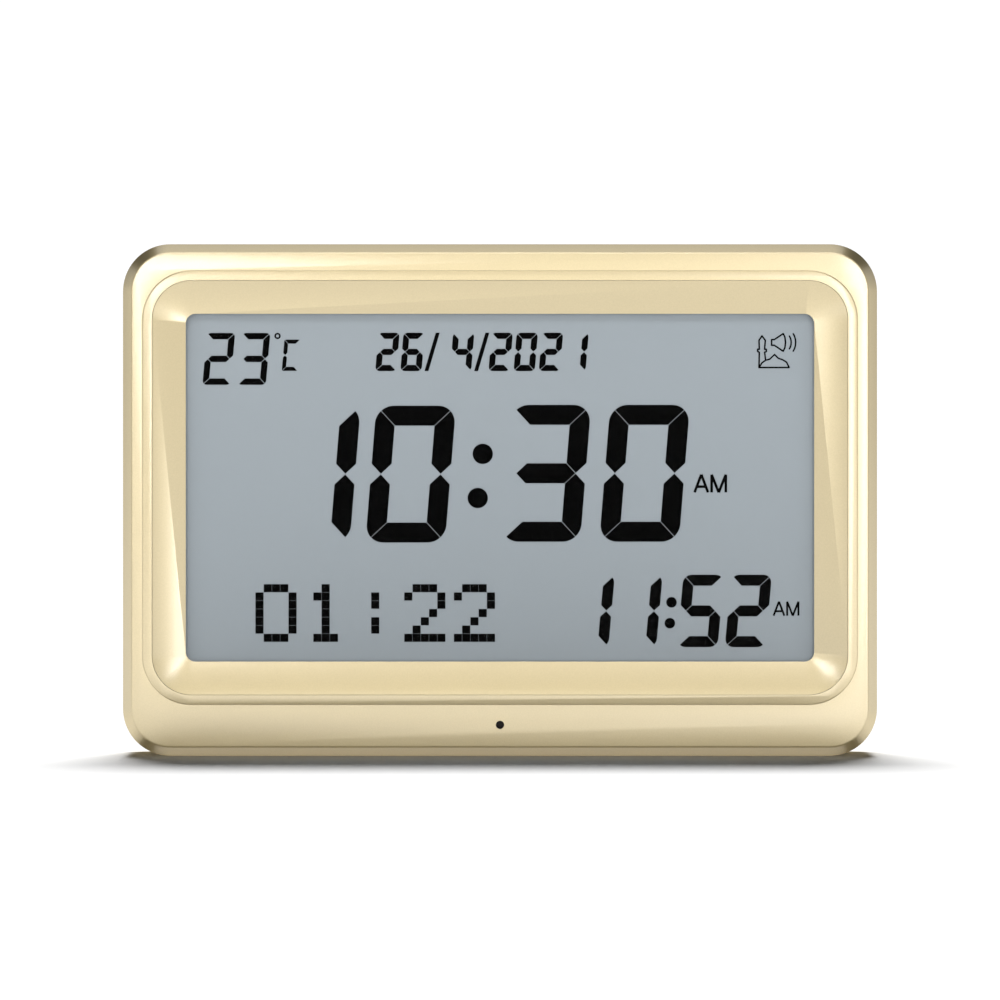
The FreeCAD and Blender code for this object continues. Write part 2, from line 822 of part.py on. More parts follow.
def rear_cover():
    """The rear cover, with its bay, recess, grille, keyholes, key panel, posts and wells."""
    added = [bay_solid(), key_panel(key_seat, rear_inside, recess_wall)]
    added += door_hinge_blocks() + stand_walls()
    added += [keyhole_cup(side * keyhole_spacing / 2) for side in (-1, 1)]
    added += [rod(rear_post_radius, parting_depth, rear_inside, x, z)
              for x, z in case_screw_places()]
    added += [rod(key_post_radius, key_board_back, rear_inside, x, z)
              for x, z in key_post_places()]
    added += [rod(boss_radius, flange_back, rear_inside, x, z)
              for x, z in speaker_screw_places()]
    ring = rod(speaker_cone_radius + recess_wall, flange_back, rear_inside, speaker_x, speaker_z)
    added.append(ring.cut(rod(speaker_cone_radius, flange_back, rear_inside, speaker_x, speaker_z)))
    body = rear_shell().fuse(added)

    past = case_depth + wall
    cuts = [slab(bay_length, bay_height, 0, bay_floor, past, bay_x, bay_z)]
    cuts.append(
        slab(door_width + 2 * door_play, door_height + 2 * door_play, door_radius + door_play,
             door_seat, past, bay_x, bay_z)
    )
    edge = door_width / 2 + door_play
    cuts.append(
        cross_rod(door_barrel + door_play, bay_x - edge, bay_x + edge, door_axis_depth, door_axis_z)
    )
    swing_top = bay_z + door_height / 2 + door_play
    swing_height = door_radius + door_barrel
    cuts.append(slab(2 * edge, swing_height, 0, door_seat, past, bay_x, swing_top - swing_height / 2))
    stub = edge + door_stub[1]
    cuts.append(
        cross_rod(door_stub[0] + thread_play, bay_x - stub, bay_x + stub, door_axis_depth, door_axis_z)
    )
    notch_width, notch_height, notch_depth = thumb_notch
    cuts.append(
        slab(notch_width, notch_height, notch_height / 2 - fit_play, case_depth - notch_depth, past,
             bay_x, bay_z - door_height / 2)
    )
    cuts += stand_hollows()
    for side in (-1, 1):
        cuts += keyhole_cuts(side * keyhole_spacing / 2)
    cuts.append(key_panel(case_depth - key_panel_depth, past, 0.0))
    width, height, radius = key_size
    cuts += [
        slab(width + 2 * key_play, height + 2 * key_play, radius + key_play, key_seat - wall, past,
             x, key_row_z)
        for _, x in key_places()
    ]
    seat = parting_depth + shoulder_thickness
    for x, z in case_screw_places():
        cuts.append(rod(case_screw[0] + head_play, seat, past, x, z))
        cuts.append(rod(case_screw[2] + hole_play, parting_depth, seat, x, z))
    pilot = small_screw[2] + thread_play
    tip = key_board_front + small_screw[3] + fit_play
    cuts += [rod(pilot, key_board_back, tip, x, z) for x, z in key_post_places()]
    tip = flange_front + small_screw[3] + fit_play
    cuts += [rod(pilot, flange_back, tip, x, z) for x, z in speaker_screw_places()]
    cuts += grille_slots() + vent_slots()
    hole = lead_radius + lead_hole_play
    for side, z in ((-1, cell_height(0)), (1, cell_height(cell_count - 1))):
        wall_inside = bay_x + side * bay_length / 2
        ends = sorted((wall_inside, wall_inside + side * 2 * bay_wall))
        cuts.append(cross_rod(hole, *ends, cell_axis, z))
    return body.cut(cuts).removeSplitter()


def cell_height(index):
    """The height of one cell's axis. Cells count upwards."""
    return bay_z + (index - (cell_count - 1) / 2) * cell_pitch


def cell_points_right(index):
    """Whether a cell's positive end faces right. Neighbours face opposite ways."""
    return index % 2 == 0


def battery_cell(index):
    """One cell: a round can, a rolled edge at each end, and the positive nub."""
    z = cell_height(index)
    way = 1 if cell_points_right(index) else -1
    flat_end = bay_x - way * (bay_length / 2 - contact_thickness - spring_length)
    full_end = flat_end + way * cell_body
    can = cross_rod(cell_radius, *sorted((flat_end, full_end)), cell_axis, z)
    can = can.makeFillet(cell_gap, can.Edges[0:1] + can.Edges[2:3])
    radius, length = cell_nub
    nub = cross_rod(radius, *sorted((full_end, full_end + way * length)), cell_axis, z)
    return can.fuse(nub).removeSplitter()


def battery_contacts():
    """The end plates: a single one for each terminal, and a double one for each bridge."""
    plates = []
    for side in (-1, 1):
        index = 0
        while index < cell_count:
            alone = index == 0 if side < 0 else index == cell_count - 1
            count = 1 if alone or index + 1 == cell_count else 2
            low, high = cell_height(index), cell_height(index + count - 1)
            wall_inside = bay_x + side * bay_length / 2
            ends = sorted((wall_inside, wall_inside - side * contact_thickness))
            plate = Part.makeBox(
                contact_thickness, contact_size, high - low + contact_size,
                at(ends[0], cell_axis - contact_size / 2, low - contact_size / 2),
            )
            plates.append(plate)
            index += count
    return Part.makeCompound(plates)


def biarc(start, start_way, end, end_way):
    """Two arcs that leave start and reach end in the given directions."""
    span = end - start
    ways = start_way + end_way
    spare = 2 * (1 - start_way.dot(end_way))
    along = span.dot(ways)
    reach = (-along + math.sqrt(along**2 + spare * span.dot(span))) / spare
    middle = (start + end + (start_way - end_way) * reach) * 0.5

    def arc(first, way, last):
        chord = last - first
        inward = chord - way * chord.dot(way)
        inward.normalize()
        centre = first + inward * (chord.dot(chord) / (2 * chord.dot(inward)))
        out = (first - centre) + (last - centre)
        out.normalize()
        return Part.Arc(first, centre + out * (first - centre).Length, last).toShape()

    return [arc(start, start_way, middle), arc(end, end_way * -1, middle)]


def battery_spring(index):
    """The conical spring that presses on one cell's flat end, from its contact plate."""
    z = cell_height(index)
    way = 1 if cell_points_right(index) else -1
    seat = bay_x - way * (bay_length / 2 - contact_thickness)
    wide, narrow = spring_radii
    length = spring_length - 2 * spring_wire - 2 * fit_play
    full_turn = 2 * math.pi * spring_turns

    def place(share):
        radius = wide + (narrow - wide) * share
        turn = full_turn * share
        along = spring_wire + fit_play + length * share
        return Vector(
            seat + way * along,
            cell_axis - case_depth / 2 + radius * math.cos(turn),
            z + radius * math.sin(turn),
        )

    def heading(share):
        radius = wide + (narrow - wide) * share
        turn = full_turn * share
        ahead = Vector(
            way * length,
            (narrow - wide) * math.cos(turn) - radius * full_turn * math.sin(turn),
            (narrow - wide) * math.sin(turn) + radius * full_turn * math.cos(turn),
        )
        return ahead.normalize()

    steps = 4 * spring_turns
    edges = []
    for step in range(steps):
        first, last = step / steps, (step + 1) / steps
        before, after = biarc(place(first), heading(first), place(last), heading(last))
        edges += [before, after]
    path = Part.Wire(Part.__sortEdges__(edges))
    ring = Part.Wire(Part.makeCircle(spring_wire, place(0), heading(0)))
    return path.makePipeShell([ring], True, False)


def battery_door():
    """The battery door, its hinge barrel and stubs, and the rib that grips the bay."""
    plate = slab(door_width, door_height, door_radius, door_seat + fit_play, case_depth, bay_x, bay_z)
    top = slab(door_width, door_barrel, 0, door_seat - wall, case_depth + wall, bay_x,
               door_axis_z + door_barrel / 2)
    left, right = bay_x - door_width / 2, bay_x + door_width / 2
    barrel = cross_rod(door_barrel, left, right, door_axis_depth, door_axis_z)
    radius, length = door_stub
    reach = door_play + length - fit_play
    stubs = cross_rod(radius, left - reach, right + reach, door_axis_depth, door_axis_z)
    rib_width, rib_height, rib_depth = door_rib
    low = bay_z - bay_height / 2 + door_play
    rib = slab(rib_width, rib_height, 0, door_seat - rib_depth, door_seat + fit_play, bay_x,
               low + rib_height / 2)
    return joined([plate.cut(top), barrel, stubs, rib])


def stand_leg():
    """The fold-out leg, with its hinge barrel, its stop heel and its finger grooves."""
    front = case_depth - stand_flush - stand_thickness
    back = case_depth - stand_flush
    top_round = stand_tip_corner + stand_barrel
    height = stand_axis_z - stand_tip_height + top_round
    plate = slab(stand_width, height, stand_tip_corner, front, back, 0,
                 stand_tip_height + height / 2)
    above = slab(stand_width + wall, top_round + wall, 0, front - wall, back + wall, 0,
                 stand_axis_z + (top_round + wall) / 2)
    plate = plate.cut(above)
    tip = [
        edge for edge in edges_at(plate, back)
        if edge.BoundBox.ZMax < stand_tip_height + stand_tip_corner + fit_play
    ]
    plate = plate.makeFillet(stand_tip_round, tip)
    barrel = cross_rod(stand_barrel, -stand_width / 2, stand_width / 2, stand_axis_depth, stand_axis_z)
    heel_height, heel_thickness = stand_heel
    heel_front = stand_axis_depth - stand_barrel
    heel = slab(stand_width, heel_height, 0, heel_front, heel_front + heel_thickness, 0,
                stand_axis_z + heel_height / 2)
    bore = cross_rod(stand_pin_radius + fit_play, -stand_width, stand_width, stand_axis_depth,
                     stand_axis_z)
    length, width, depth = grip_groove
    low = stand_tip_height + stand_tip_round + stand_tip_corner
    grooves = [
        slab(length, width, width / 2 - fit_play, back - depth, back + wall, 0, low + row * grip_pitch)
        for row in range(grip_grooves)
    ]
    return joined([plate, barrel, heel]).cut([bore] + grooves)


def stand_pin():
    """The steel pin that the leg turns on."""
    reach = stand_half + stand_pin_seat
    return cross_rod(stand_pin_radius, -reach, reach, stand_axis_depth, stand_axis_z)


def key_cap(x):
    """One key: its cap, its flange inside the cover and the stem that meets the switch."""
    width, height, radius = key_size
    back = case_depth - key_flush
    cap = slab(width, height, radius, key_flange_front, back, x, key_row_z)
    cap = cap.makeFillet(edge_round, edges_at(cap, back))
    lip, _ = key_flange
    flange = slab(width + 2 * lip, height + 2 * lip, radius + lip, key_flange_front,
                  key_seat - fit_play, x, key_row_z)
    stem = rod(key_stem[0], plunger_top, key_flange_front, x, key_row_z)
    return joined([cap, flange, stem])


def key_plunger(x):
    """The switch's moving button."""
    radius, _ = switch_plunger
    well_floor = plunger_top - switch_plunger[1] - plunger_well + key_travel + plunger_play
    return rod(radius, well_floor, plunger_top, x, key_row_z)


def key_switches():
    """The fixed bodies of the six push switches, each with the well its button sinks in."""
    side, height = switch_body
    radius, _ = switch_plunger
    bodies = []
    for _, x in key_places():
        body = slab(side, side, 0, key_board_back, key_board_back + height, x, key_row_z)
        well = rod(radius + plunger_play, key_board_back + height - plunger_well,
                   key_board_back + height, x, key_row_z)
        bodies.append(body.cut(well))
    return Part.makeCompound(bodies)


def key_board():
    """The small board that carries the switches."""
    board = slab(key_board_width, key_board_height, key_stem[0], key_board_front, key_board_back, 0,
                 key_row_z)
    hole = small_screw[2] + hole_play
    return board.cut([rod(hole, key_board_front, key_board_back, x, z)
                      for x, z in key_post_places()])


def key_header():
    """The plug strip between the main board and the key board."""
    width, height = header_size
    return slab(width, height, 0, board_back, key_board_front, key_pitch, key_row_z - header_drop)


def speaker_frame():
    """The speaker's square flange and conical basket."""
    flange = slab(speaker_flange, speaker_flange, speaker_flange_radius, flange_front, flange_back,
                  speaker_x, speaker_z)
    flange = flange.cut(rod(speaker_cone_radius, flange_front, flange_back, speaker_x, speaker_z))
    back_radius = speaker_cone_radius + basket_wall
    basket_front = flange_front - basket_depth
    profile = [
        (speaker_cone_radius, flange_front + fit_play),
        (back_radius, flange_front + fit_play),
        (back_radius, flange_front),
        (basket_throat, basket_front),
        (cone_throat, basket_front),
        (cone_throat, basket_front + basket_wall),
        (basket_throat - basket_wall, basket_front + basket_wall),
        (speaker_cone_radius, flange_front),
    ]
    body = joined([flange, turned(profile, speaker_x, speaker_z)])
    hole = small_screw[2] + hole_play
    return body.cut([rod(hole, flange_front, flange_back, x, z) for x, z in speaker_screw_places()])


def speaker_magnet():
    """The steel yoke plate and the ring magnet's cover behind the basket."""
    basket_front = flange_front - basket_depth
    yoke_front = basket_front - yoke[1]
    return joined([
        rod(yoke[0], yoke_front, basket_front, speaker_x, speaker_z),
        rod(magnet[0], yoke_front - magnet[1], yoke_front, speaker_x, speaker_z),
    ])


def speaker_cone():
    """The paper cone, with its domed dust cap and its rolled edge on the flange."""
    edge = speaker_cone_radius - fit_play
    roll = edge - 2 * speaker_seat
    front = flange_front + fit_play
    profile = [
        (0, front - cone_depth + speaker_seat),
        (cone_throat, front - cone_depth),
        (roll, front),
        (roll + speaker_seat, front + cone_wall),
        (edge, front),
        (edge, front + cone_wall),
        (roll + speaker_seat, front + 2 * cone_wall),
        (roll, front + cone_wall),
        (cone_throat, front - cone_depth + cone_wall),
        (0, front - cone_depth + speaker_seat + cone_wall),
    ]
    return turned(profile, speaker_x, speaker_z)


def lead(points):
    """An insulated wire along straight runs joined by arcs, each as large as its runs allow."""
    edges = []
    start = points[0]
    for before, corner, after in zip(points, points[1:], points[2:]):
        inward, onward = (before - corner), (after - corner)
        shorter = min(inward.Length, onward.Length)
        inward.normalize()
        onward.normalize()
        half_turn = (math.pi - inward.getAngle(onward)) / 2
        trim = 0.45 * shorter
        radius = trim / math.tan(half_turn)
        entry, leave = corner + inward * trim, corner + onward * trim
        bisector = (inward + onward).normalize()
        middle = corner + bisector * (radius / math.cos(half_turn) - radius)
        edges.append(Part.LineSegment(start, entry).toShape())
        edges.append(Part.Arc(entry, middle, leave).toShape())
        start = leave
        print(f"lead bend radius {radius:.2f} mm")
    edges.append(Part.LineSegment(start, points[-1]).toShape())
    path = Part.Wire(edges)
    ring = Part.Wire(Part.makeCircle(lead_radius, points[0], points[1] - points[0]))
    tube = path.makePipeShell([ring], True, False)
    section = math.pi * lead_radius**2
    print(f"lead volume {tube.Volume:.2f}, section times length {section * path.Length:.2f} mm3")
    return tube


def battery_leads():
    """The two wires from the bay's terminal plates to the main board."""
    wires = []
    for side, index in ((-1, 0), (1, cell_count - 1)):
        z = cell_height(index)
        start = bay_x + side * bay_length / 2
        out = start + side * lead_reach
        wires.append(lead([at(start, cell_axis, z), at(out, cell_axis, z), at(out, board_back, z)]))
    return Part.makeCompound(wires)


def speaker_leads():
    """The two wires from the speaker's flange to the main board."""
    wires = []
    for row in (0, 1):
        z = speaker_z + (row - 0.5) * 4 * lead_radius
        x = speaker_x - speaker_flange / 2 + 2 * lead_radius
        middle = (board_back + flange_front) / 2
        inner = x - lead_reach
        wires.append(lead([at(x, flange_front, z), at(x, middle, z), at(inner, middle, z),
                           at(inner, board_back, z)]))
    return Part.makeCompound(wires)


def prism(points):
    """A thin mark on the display from a closed outline of points across and up."""
    front = film_front - segment_thickness
    corners = [at(x, front, window_z + z) for x, z in points]
    return Part.Face(Part.makePolygon(corners + corners[:1])).extrude(
        Vector(0, segment_thickness, 0)
    )


def stroke(start, end, width):
    """A straight mark with square ends."""
    (x1, z1), (x2, z2) = start, end
    length = math.hypot(x2 - x1, z2 - z1)
    side_x, side_z = -(z2 - z1) / length * width / 2, (x2 - x1) / length * width / 2
    return prism([
        (x1 + side_x, z1 + side_z), (x2 + side_x, z2 + side_z),
        (x2 - side_x, z2 - side_z), (x1 - side_x, z1 - side_z),
    ])


def dot(x, z, radius):
    """A round mark."""
    return rod(radius, film_front - segment_thickness, film_front, x, window_z + z)


def line_drawing(points, width):
    """A chain of strokes with round joints."""
    marks = [stroke(a, b, width) for a, b in zip(points, points[1:])]
    marks += [dot(x, z, width / 2) for x, z in points]
    return joined(marks)


def corner_arc(centre, radius, first, last):
    """Points along an arc, from one angle to another in degrees."""
    steps = 6
    angles = [math.radians(first + (last - first) * step / steps) for step in range(steps + 1)]
    return [(centre[0] + radius * math.cos(a), centre[1] + radius * math.sin(a)) for a in angles]


def segment_outlines(style):
    """The seven bars of a digit before it leans, centred on its middle."""
    height, width, thick, radius, gap, _ = style
    right, top = width / 2, height / 2
    slip = gap / math.sqrt(2)
    trim = math.degrees(gap / 2 / radius)
    middle = right - thick / 2
    inner_right, inner_top = right - thick, top - thick
    centre = (right - radius, top - radius)
    above = corner_arc(centre, radius, 45 + trim, 90)
    beside = corner_arc(centre, radius, 0, 45 - trim)
    bar_top = [(-x, z) for x, z in reversed(above)]
    bar_a = bar_top + [(-inner_right + slip, inner_top), (inner_right - slip, inner_top)] + above
    bar_b = beside + [
        (inner_right, inner_top - slip),
        (inner_right, thick / 2 + slip),
        (middle, slip),
        (right, thick / 2 + slip),
    ]
    bar_g = [
        (middle - slip, 0), (inner_right - slip, thick / 2), (-inner_right + slip, thick / 2),
        (-middle + slip, 0), (-inner_right + slip, -thick / 2), (inner_right - slip, -thick / 2),
    ]

    def flipped(bar, across, up):
        return [(x * across, z * up) for x, z in bar]

    return {
        "a": bar_a, "b": bar_b, "c": flipped(bar_b, 1, -1), "d": flipped(bar_a, 1, -1),
        "e": flipped(bar_b, -1, -1), "f": flipped(bar_b, -1, 1), "g": bar_g,
    }


LIT_BARS = {
    "0": "abcdef", "1": "bc", "2": "abged", "3": "abgcd", "4": "fgbc",
    "5": "afgcd", "6": "afgedc", "C": "afed",
}


def digit(character, x, z, style):
    """A digit whose middle is at x and z, from the bars that are lit."""
    bars = segment_outlines(style)
    lean = math.tan(math.radians(style[5]))
    return [
        prism([(x + dx + lean * dz, z + dz) for dx, dz in bars[name]])
        for name in LIT_BARS[character]
    ]


def colon(places):
    """The two dots between the hour and the minute."""
    high_x, high_z, low_x, low_z, radius = places
    return [dot(high_x, high_z, radius), dot(low_x, low_z, radius)]


def time_marks():
    """The hour and minute in large digits, with the colon between them."""
    marks = []
    for character, x, z in zip("1030", time_x, time_z):
        marks += digit(character, x, z, time_style)
    return marks + colon(time_colon)


def next_call_marks():
    """The time of the next call in smaller digits."""
    marks = []
    for character, x in zip("1152", next_x):
        marks += digit(character, x, next_z, next_style)
    return marks + colon(next_colon)


def date_marks():
    """The day, month and year, with two slashes."""
    marks = []
    for character, x in zip("2642021", date_x):
        marks += digit(character, x, date_z, date_style)
    top, bottom = date_z + date_style[0] / 2, date_z - date_style[0] / 2
    lean, width = slash_size
    for x in slash_x:
        marks.append(
            prism([
                (x + lean - width / 2, top), (x + lean + width / 2, top),
                (x - lean + width / 2, bottom), (x - lean - width / 2, bottom),
            ])
        )
    return marks


def warmth_marks():
    """The room temperature, its degree ring and its unit."""
    marks = []
    for character, x in zip("23", warmth_x):
        marks += digit(character, x, warmth_z, warmth_style)
    x, z, outer, inner = degree_ring
    return marks + [dot(x, z, outer).cut(dot(x, z, inner))] + digit("C", *unit_corner, unit_style)


def morning_marks():
    """Plain morning marks, two upright letters beside each time."""
    marks = []
    for left, low, height, width in (morning_large, morning_small):
        half = 0.38 * height
        apex = left + half
        bar = 0.32 * height
        inset = half * (1 - bar / height)
        marks.append(joined([
            stroke((left, low), (apex, low + height), width),
            stroke((left + 2 * half, low), (apex, low + height), width),
            stroke((apex - inset, low + bar), (apex + inset, low + bar), width),
        ]))
        start = left + 2 * half + 0.2 * height
        end = start + 0.8 * height
        marks.append(joined([
            stroke((start, low), (start, low + height), width),
            stroke((end, low), (end, low + height), width),
            stroke((start, low + height), ((start + end) / 2, low), width),
            stroke((end, low + height), ((start + end) / 2, low), width),
        ]))
    return marks


MATRIX_ROWS = {
    "0": ("01110", "10001", "10001", "10001", "10001", "10001", "01110"),
    "1": ("00100", "01100", "00100", "00100", "00100", "00100", "01110"),
    "2": ("01110", "10001", "00001", "00010", "00100", "01000", "11111"),
    ":": ("00000", "00100", "00100", "00000", "00100", "00100", "00000"),
}


def matrix_marks():
    """The time left, in small square dots."""
    left, top = matrix_corner
    side = matrix_pitch - matrix_gap
    marks = []
    for place, character in enumerate("01:22"):
        for row, dots in enumerate(MATRIX_ROWS[character]):
            for column, lit in enumerate(dots):
                if lit == "1":
                    x = left + (place * matrix_columns + column) * matrix_pitch
                    z = top - row * matrix_pitch
                    marks.append(prism([(x, z), (x + side, z), (x + side, z - side), (x, z - side)]))
    return marks


TOWER = ((0, 0), (0.2, 9.2), (-0.8, 9.6), (-0.8, 11), (0.2, 11), (0, 16.4), (1.8, 19), (3.8, 16.4),
         (3.4, 11), (4.4, 11), (4.4, 9.6), (3.4, 9.2), (4, 4.4))
DOME = ((0, 0), (1.8, 2.8), (4, 4.4), (6.4, 5), (9.4, 7.8), (11.6, 5.6), (14.4, 4.6), (16.6, 3.2),
        (18.2, 0), (0, 0))
HORN = ((0, -1.7), (0, 1.7), (1.6, 1.7), (7, 5.3), (8, 3.2), (8.4, 0), (8, -3.2), (7, -5.3),
        (1.6, -1.7), (0, -1.7))


def call_symbol():
    """A plain sign for the sounded call: a tower, a dome and a horn."""
    left, low = symbol_corner
    horn_x, horn_z = left + horn_place[0], low + horn_place[1]

    def drawn(shape, x, z):
        points = [(x + dx * symbol_unit, z + dz * symbol_unit) for dx, dz in shape]
        return line_drawing(points, symbol_line)

    centre = (horn_x + wave_offset, horn_z)
    waves = [
        line_drawing(corner_arc(centre, radius, -wave_angle, wave_angle), symbol_line)
        for radius in wave_radii
    ]
    building = joined([drawn(TOWER, left, low), drawn(DOME, left, low)])
    return [building, drawn(HORN, horn_x, horn_z)] + waves


def lcd_segments():
    """Every dark mark on the display, each a separate thin piece."""
    marks = time_marks() + next_call_marks() + date_marks() + warmth_marks()
    marks += morning_marks() + matrix_marks() + call_symbol()
    return Part.makeCompound(marks)


def screws(size, seat, places, points_forward=True):
    """A set of like screws."""
    return Part.makeCompound([screw(size, seat, x, z, points_forward) for x, z in places])


def sub_parts():
    """Every sub-part's name and shape."""
    parts = {
        "front_housing": front_housing(),
        "screen_surround": screen_surround(),
        "display_lens": display_lens(),
        "lcd_gasket": lcd_gasket(),
        "lcd_front_film": display_layer(front_glass_height, film_front, film_thickness),
        "lcd_segments": lcd_segments(),
        "lcd_front_glass": display_layer(front_glass_height, glass_front, glass_thickness),
        "lcd_rear_glass": display_layer(rear_glass_height, rear_glass_front, glass_thickness),
        "lcd_rear_film": display_layer(rear_glass_height, rear_film_front, film_thickness),
        "lcd_connectors": lcd_connectors(),
        "lcd_holder": lcd_holder(),
        "main_board": main_board(),
        "clock_chip": clock_chip(),
        "sound_chips": sound_chips(),
        "crystal_can": crystal_can(),
        "board_capacitors": board_capacitors(),
        "thermistor": thermistor(),
        "status_lens": status_lens(),
        "status_led": status_led(),
        "key_board": key_board(),
        "key_switches": key_switches(),
        "key_header": key_header(),
        "speaker_frame": speaker_frame(),
        "speaker_magnet": speaker_magnet(),
        "speaker_cone": speaker_cone(),
        "speaker_leads": speaker_leads(),
        "rear_cover": rear_cover(),
        "battery_contacts": battery_contacts(),
        "battery_springs": Part.makeCompound([battery_spring(i) for i in range(cell_count)]),
        "battery_leads": battery_leads(),
        "battery_door": battery_door(),
        "stand_leg": stand_leg(),
        "stand_pin": stand_pin(),
        "case_screws": screws(case_screw, parting_depth + shoulder_thickness, case_screw_places()),
        "board_screws": screws(board_screw, board_back, board_screw_places()),
        "speaker_screws": screws(small_screw, flange_front, speaker_screw_places(), False),
        "key_board_screws": screws(small_screw, key_board_front, key_post_places(), False),
    }
    for index in range(cell_count):
        parts[f"battery_cell_{index + 1}"] = battery_cell(index)
    for name, x in key_places():
        parts[f"{name}_key"] = key_cap(x)
        parts[f"{name}_plunger"] = key_plunger(x)
    return parts


def main():
    """Writes one STEP file for each sub-part."""
    os.makedirs("parts", exist_ok=True)
    for name, shape in sub_parts().items():
        faults = [solid for solid in shape.Solids if not solid.isValid() or solid.Volume <= 0]
        print(f"{name}: {len(shape.Solids)} solids, {shape.Volume:.1f} mm3, faults {len(faults)}")
        shape.exportStep(f"parts/{name}.step")


main()
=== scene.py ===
import math

import bpy
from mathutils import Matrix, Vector


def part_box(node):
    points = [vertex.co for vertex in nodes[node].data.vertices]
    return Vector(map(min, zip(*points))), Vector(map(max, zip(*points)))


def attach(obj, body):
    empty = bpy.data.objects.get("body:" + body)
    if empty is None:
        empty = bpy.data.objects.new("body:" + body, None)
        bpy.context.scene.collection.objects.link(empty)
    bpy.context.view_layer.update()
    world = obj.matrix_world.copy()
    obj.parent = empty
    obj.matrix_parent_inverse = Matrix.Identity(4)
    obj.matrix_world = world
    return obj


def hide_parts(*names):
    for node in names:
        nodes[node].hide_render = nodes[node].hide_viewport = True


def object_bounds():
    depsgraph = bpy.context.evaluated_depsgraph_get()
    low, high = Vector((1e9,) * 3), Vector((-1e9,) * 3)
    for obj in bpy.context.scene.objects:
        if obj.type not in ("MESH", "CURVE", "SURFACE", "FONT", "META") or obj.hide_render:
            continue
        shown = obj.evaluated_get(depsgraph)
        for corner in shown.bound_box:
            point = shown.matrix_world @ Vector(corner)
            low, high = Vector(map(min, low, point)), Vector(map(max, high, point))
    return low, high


# A prayer-time clock in champagne paint with a wide grey display, on a white studio floor.
# Lengths are in metres. The clock faces -Y, and Z is zero under its base.

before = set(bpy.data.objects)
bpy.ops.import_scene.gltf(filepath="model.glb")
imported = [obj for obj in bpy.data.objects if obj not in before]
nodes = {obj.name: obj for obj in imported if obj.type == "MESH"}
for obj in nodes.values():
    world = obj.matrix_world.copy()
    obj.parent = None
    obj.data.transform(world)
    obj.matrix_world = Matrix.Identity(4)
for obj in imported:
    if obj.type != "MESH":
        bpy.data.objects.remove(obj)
cad_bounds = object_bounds()

MM = 0.001

# Sizes of the front, which match the solids
rim_raise = 0.6 * MM
rim_bevel = 0.45 * MM
rim_width = 3.1 * MM
face_bevel = 2.7 * MM
edge_round = 0.4 * MM
fine_round = 0.15 * MM
corner_radius = 14.2 * MM
wall = 2.2 * MM
surround_radius = 11.7 * MM
surround_gap = 0.15 * MM
surround_edge = 1.5 * MM
slope_width = 9.8 * MM
slope_recess = 3.6 * MM
window_radius = 2.9 * MM
ledge_width = 3.2 * MM
ledge_thickness = 2.2 * MM
status_hole_radius = 1.25 * MM
status_height = 9.4 * MM
status_dome = 0.35 * MM

# Smoothness of round edges
corner_steps = 20
round_steps = 3
dome_steps = 4
cylinder_sides = 48
crease_angle = math.radians(28)

# How far a cut runs past a face, and how close two places count as one
overshoot = 2 * MM
near = 0.02 * MM
facing_back = 0.9
quarter_turn = math.radians(90)

# Colours, as linear red, green and blue
champagne = (0.63, 0.515, 0.278)
smoked_black = (0.006, 0.003, 0.002)
plated_grey = (0.62, 0.62, 0.60)
drawn_grey = (0.58, 0.58, 0.57)
resin_black = (0.012, 0.012, 0.012)
plastic_white = (0.76, 0.76, 0.74)
window_tint = (0.01, 0.01, 0.01)
display_grey = (0.425, 0.48, 0.52)
mark_black = (0.002, 0.002, 0.002)
foam_black = (0.02, 0.02, 0.02)
glass_tint = (0.8, 0.86, 0.85)
reflector_grey = (0.5, 0.52, 0.53)
rubber_grey = (0.2, 0.2, 0.21)
board_green = (0.012, 0.12, 0.045)
capacitor_blue = (0.04, 0.06, 0.2)
lamp_red = (0.45, 0.03, 0.02)
cone_black = (0.03, 0.03, 0.03)
insulation_red = (0.35, 0.015, 0.01)
sleeve_green = (0.07, 0.13, 0.1)
sleeve_pale = (0.62, 0.63, 0.6)
nub_grey = (0.6, 0.6, 0.58)
floor_white = (0.9, 0.9, 0.9)

# Grain: where the two shades of a pattern settle, and each pattern's cells per metre
shade_low = 0.3
shade_high = 0.7
flake_scale = 2600
flake_contrast = 0.035
flake_height = 0.01 * MM
coat_ior = 2.2
drawn_detail = 2
drawn_contrast = 0.08
drawn_height = 0.004 * MM
track_scale = 260
track_width = 0.06
track_contrast = 0.35
track_height = 0.02 * MM

# A cell's sleeve, measured from the cell's middle towards its positive end
sleeve_span = 60 * MM
pale_start = 16.8 * MM
nub_start = 24.3 * MM

# Light
floor_size = 12
sun_place = (0, 0.8, 1.6)
sun_strength = 4.1
sun_angle = math.radians(22)
room_strength = 0.03
backdrop_strength = 1.05

# Camera, which sees a strip as wide as the photograph shows
picture_width = 300 * MM
camera_distance = 1.5
sensor_width = 36.0

housing_low, housing_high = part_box("front_housing")
surround_low, surround_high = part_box("screen_surround")
surround_width = surround_high.x - surround_low.x
surround_height = surround_high.z - surround_low.z
rim_front = housing_low.y
window_z = (surround_low.z + surround_high.z) / 2


def clear_selection():
    """Leaves nothing selected, in object mode."""
    if bpy.context.object and bpy.context.object.mode != "OBJECT":
        bpy.ops.object.mode_set(mode="OBJECT")
    bpy.ops.object.select_all(action="DESELECT")


def pick(piece):
    """Makes this piece the only one selected."""
    clear_selection()
    bpy.context.view_layer.objects.active = piece
    piece.select_set(True)


def block(name, low, high):
    """A plain block between two corners."""
    clear_selection()
    bpy.ops.mesh.primitive_cube_add(size=1, location=(low + high) / 2, scale=high - low)
    piece = bpy.context.object
    piece.name = name
    bpy.ops.object.transform_apply(location=True, rotation=True, scale=True)
    return piece


